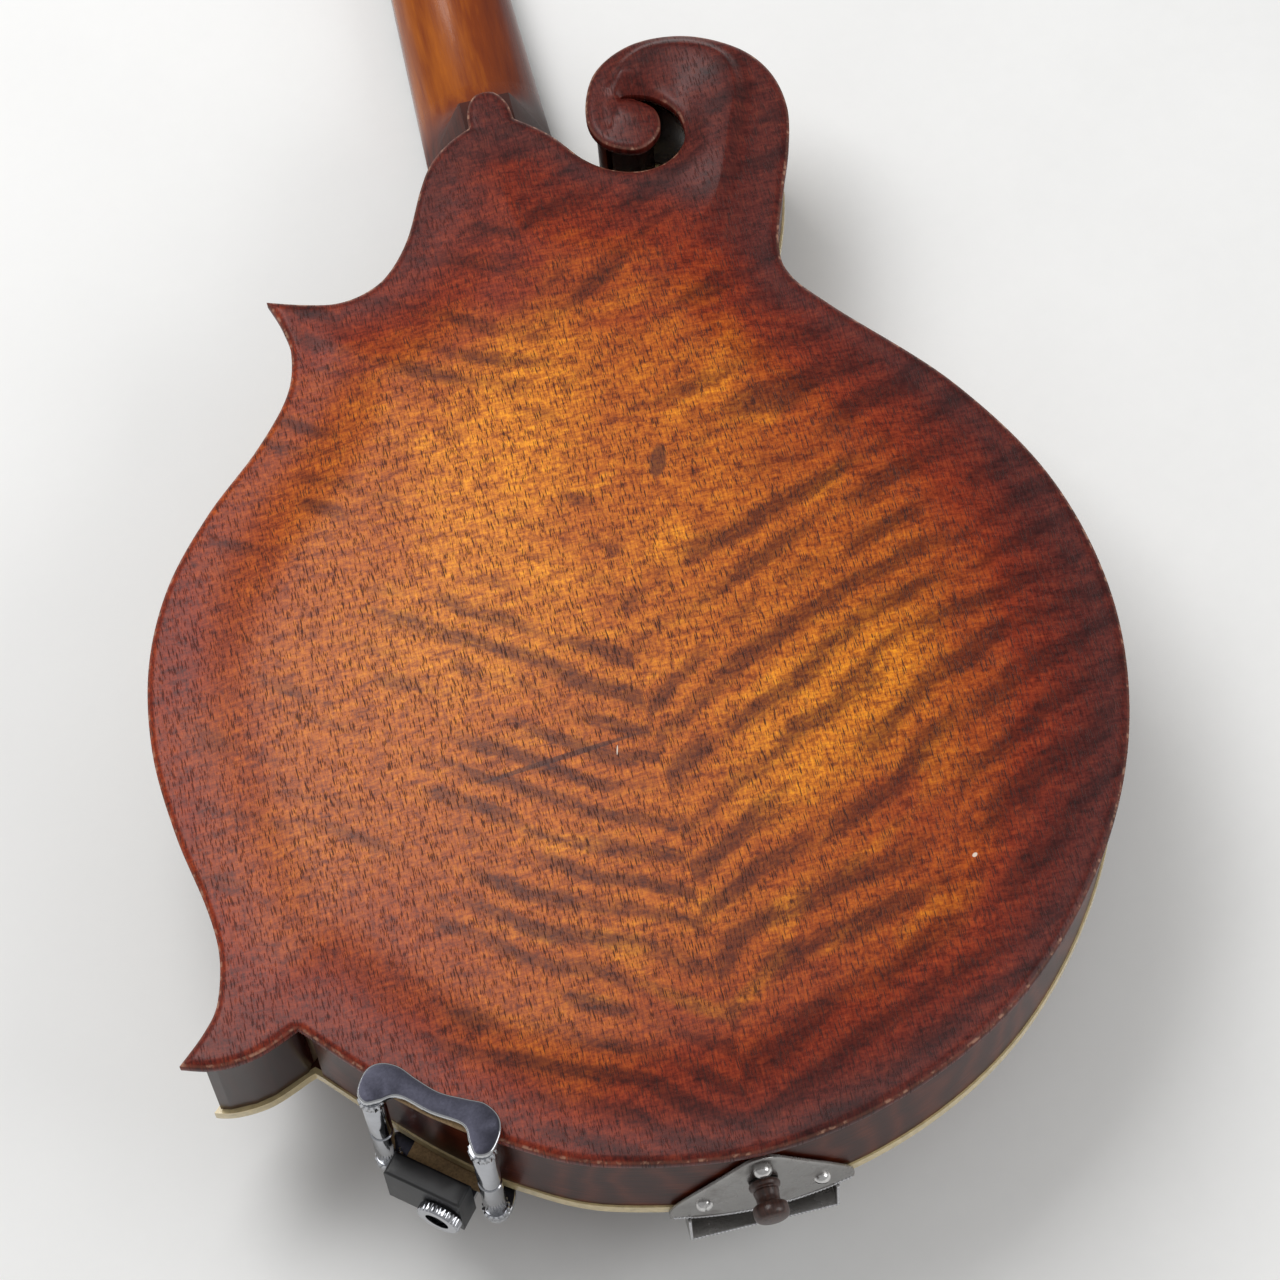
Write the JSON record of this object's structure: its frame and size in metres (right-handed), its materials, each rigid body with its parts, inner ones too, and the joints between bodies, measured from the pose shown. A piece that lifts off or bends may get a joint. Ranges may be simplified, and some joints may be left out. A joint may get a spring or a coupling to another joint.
{
  "type": "flat back mandolin",
  "caption": "Scroll-body mandolin with an arched two-piece back, geared tuners, a slide-on tailpiece cover and a clamped jack block, lying on its strings.",
  "frame": {"origin": "middle of the overall box, on the plane that the saddle and the nut stand on", "axes": "+Y from the tail toward the head, level with the strings; +Z out of the back, up; +X toward the scroll"},
  "size_m": [0.27, 0.664, 0.0869],
  "materials": {
    "back_maple": "amber sunburst gloss varnish over flamed maple",
    "rim_maple": "very dark red-brown gloss varnish",
    "soundboard_spruce": "dark red-brown gloss varnish over spruce",
    "inner_wood": "bare softwood",
    "neck_wood": "orange-brown gloss varnish",
    "ebony": "black, satin",
    "cream_binding": "aged cream",
    "bone": "polished bone",
    "plain_string": "bright drawn wire",
    "nickel_plate": "worn nickel plate",
    "post_brass": "aged brass",
    "button_ivoroid": "aged ivory-coloured buttons on steel worms",
    "clamp_cork_sheet": "bare cork",
    "jack_box": "black",
    "pin_wood": "dark turned hardwood",
    "wound_string": "bronze winding"
  },
  "bodies": {
    "instrument": {"back_bass_half": "back_maple", "back_treble_half": "back_maple", "bridge": "ebony", "clamp_top_bracket": "nickel_plate", "clamp_top_cork": "clamp_cork_sheet", "end_pin": "pin_wood", "fingerboard": "ebony", "head_block": "inner_wood", "headstock_overlay": "ebony", "jack_block": "jack_box", "jack_ring": "nickel_plate", "neck": "neck_wood", "nut": "bone", "point_block_lower": "inner_wood", "point_block_upper": "inner_wood", "rib_bass": "rim_maple", "rib_treble_lower": "rim_maple", "rib_treble_middle": "rim_maple", "rib_treble_upper": "rim_maple", "saddle": "bone", "soundboard": "soundboard_spruce", "string_1": "wound_string", "string_2": "wound_string", "string_3": "wound_string", "string_4": "wound_string", "string_5": "plain_string", "string_6": "plain_string", "string_7": "wound_string", "string_8": "wound_string", "tail_block": "inner_wood", "tailpiece_base": "nickel_plate", "top_binding": "cream_binding", "top_brace": "inner_wood", "tuner_plate_bass": "nickel_plate", "tuner_plate_treble": "nickel_plate"},
    "key_1": {"worm_key_1": "button_ivoroid"},
    "post_1": {"post_gear_1": "post_brass"},
    "key_2": {"worm_key_2": "button_ivoroid"},
    "post_2": {"post_gear_2": "post_brass"},
    "key_3": {"worm_key_3": "button_ivoroid"},
    "post_3": {"post_gear_3": "post_brass"},
    "key_4": {"worm_key_4": "button_ivoroid"},
    "post_4": {"post_gear_4": "post_brass"},
    "key_5": {"worm_key_5": "button_ivoroid"},
    "post_5": {"post_gear_5": "post_brass"},
    "key_6": {"worm_key_6": "button_ivoroid"},
    "post_6": {"post_gear_6": "post_brass"},
    "key_7": {"worm_key_7": "button_ivoroid"},
    "post_7": {"post_gear_7": "post_brass"},
    "key_8": {"worm_key_8": "button_ivoroid"},
    "post_8": {"post_gear_8": "post_brass"},
    "cover": {"tailpiece_cover": "nickel_plate"},
    "back_bracket": {"clamp_back_bracket": "nickel_plate", "clamp_cork": "clamp_cork_sheet"},
    "barrel_1": {"clamp_barrel_1": "nickel_plate"},
    "barrel_2": {"clamp_barrel_2": "nickel_plate"}
  },
  "joints": [
    {"name": "key_turn_1", "type": "hinge", "parent": "instrument", "child": "key_1", "pos_m": [0.02284, 0.20198, 0.02849], "axis": [1, 0, 0], "continuous": true},
    {"name": "post_turn_1", "type": "hinge", "parent": "instrument", "child": "post_1", "pos_m": [0.02284, 0.20832, 0.03013], "axis": [0, -0.2506, 0.9681], "continuous": true},
    {"name": "key_turn_2", "type": "hinge", "parent": "instrument", "child": "key_2", "pos_m": [0.02284, 0.22425, 0.03425], "axis": [1, 0, 0], "continuous": true},
    {"name": "post_turn_2", "type": "hinge", "parent": "instrument", "child": "post_2", "pos_m": [0.02284, 0.23059, 0.03589], "axis": [0, -0.2506, 0.9681], "continuous": true},
    {"name": "key_turn_3", "type": "hinge", "parent": "instrument", "child": "key_3", "pos_m": [0.02284, 0.24651, 0.04002], "axis": [1, 0, 0], "continuous": true},
    {"name": "post_turn_3", "type": "hinge", "parent": "instrument", "child": "post_3", "pos_m": [0.02284, 0.25285, 0.04166], "axis": [0, -0.2506, 0.9681], "continuous": true},
    {"name": "key_turn_4", "type": "hinge", "parent": "instrument", "child": "key_4", "pos_m": [0.02284, 0.26878, 0.04578], "axis": [1, 0, 0], "continuous": true},
    {"name": "post_turn_4", "type": "hinge", "parent": "instrument", "child": "post_4", "pos_m": [0.02284, 0.27512, 0.04742], "axis": [0, -0.2506, 0.9681], "continuous": true},
    {"name": "key_turn_5", "type": "hinge", "parent": "instrument", "child": "key_5", "pos_m": [-0.01216, 0.20198, 0.02849], "axis": [1, 0, 0], "continuous": true},
    {"name": "post_turn_5", "type": "hinge", "parent": "instrument", "child": "post_5", "pos_m": [-0.01216, 0.20832, 0.03013], "axis": [0, -0.2506, 0.9681], "continuous": true},
    {"name": "key_turn_6", "type": "hinge", "parent": "instrument", "child": "key_6", "pos_m": [-0.01216, 0.22425, 0.03425], "axis": [1, 0, 0], "continuous": true},
    {"name": "post_turn_6", "type": "hinge", "parent": "instrument", "child": "post_6", "pos_m": [-0.01216, 0.23059, 0.03589], "axis": [0, -0.2506, 0.9681], "continuous": true},
    {"name": "key_turn_7", "type": "hinge", "parent": "instrument", "child": "key_7", "pos_m": [-0.01216, 0.24651, 0.04002], "axis": [1, 0, 0], "continuous": true},
    {"name": "post_turn_7", "type": "hinge", "parent": "instrument", "child": "post_7", "pos_m": [-0.01216, 0.25285, 0.04166], "axis": [0, -0.2506, 0.9681], "continuous": true},
    {"name": "key_turn_8", "type": "hinge", "parent": "instrument", "child": "key_8", "pos_m": [-0.01216, 0.26878, 0.04578], "axis": [1, 0, 0], "continuous": true},
    {"name": "post_turn_8", "type": "hinge", "parent": "instrument", "child": "post_8", "pos_m": [-0.01216, 0.27512, 0.04742], "axis": [0, -0.2506, 0.9681], "continuous": true},
    {"name": "cover_slide", "type": "slide", "parent": "instrument", "child": "cover", "axis": [0, -0.9959, 0.0906], "range_m": [0, 0.045]},
    {"name": "barrel_turn_1", "type": "hinge", "parent": "instrument", "child": "barrel_1", "pos_m": [-0.08826, -0.28275, 0.05696], "axis": [0, 0.0906, 0.9959], "range_deg": [0, 900]},
    {"name": "barrel_turn_2", "type": "hinge", "parent": "instrument", "child": "barrel_2", "pos_m": [-0.06366, -0.30337, 0.05883], "axis": [0, 0.0906, 0.9959], "range_deg": [0, 900]},
    {"name": "bracket_slide", "type": "slide", "parent": "instrument", "child": "back_bracket", "axis": [0, 0.0906, 0.9959], "range_m": [0, 0.002]}
  ],
  "couplings": [
    {"joint": "post_turn_1", "follows": "key_turn_1", "ratio": -0.071429},
    {"joint": "post_turn_2", "follows": "key_turn_2", "ratio": -0.071429},
    {"joint": "post_turn_3", "follows": "key_turn_3", "ratio": -0.071429},
    {"joint": "post_turn_4", "follows": "key_turn_4", "ratio": -0.071429},
    {"joint": "post_turn_5", "follows": "key_turn_5", "ratio": -0.071429},
    {"joint": "post_turn_6", "follows": "key_turn_6", "ratio": -0.071429},
    {"joint": "post_turn_7", "follows": "key_turn_7", "ratio": -0.071429},
    {"joint": "post_turn_8", "follows": "key_turn_8", "ratio": -0.071429},
    {"joint": "barrel_turn_1", "follows": "bracket_slide", "rad_per_m": 7854},
    {"joint": "barrel_turn_2", "follows": "bracket_slide", "rad_per_m": 7854}
  ]
}
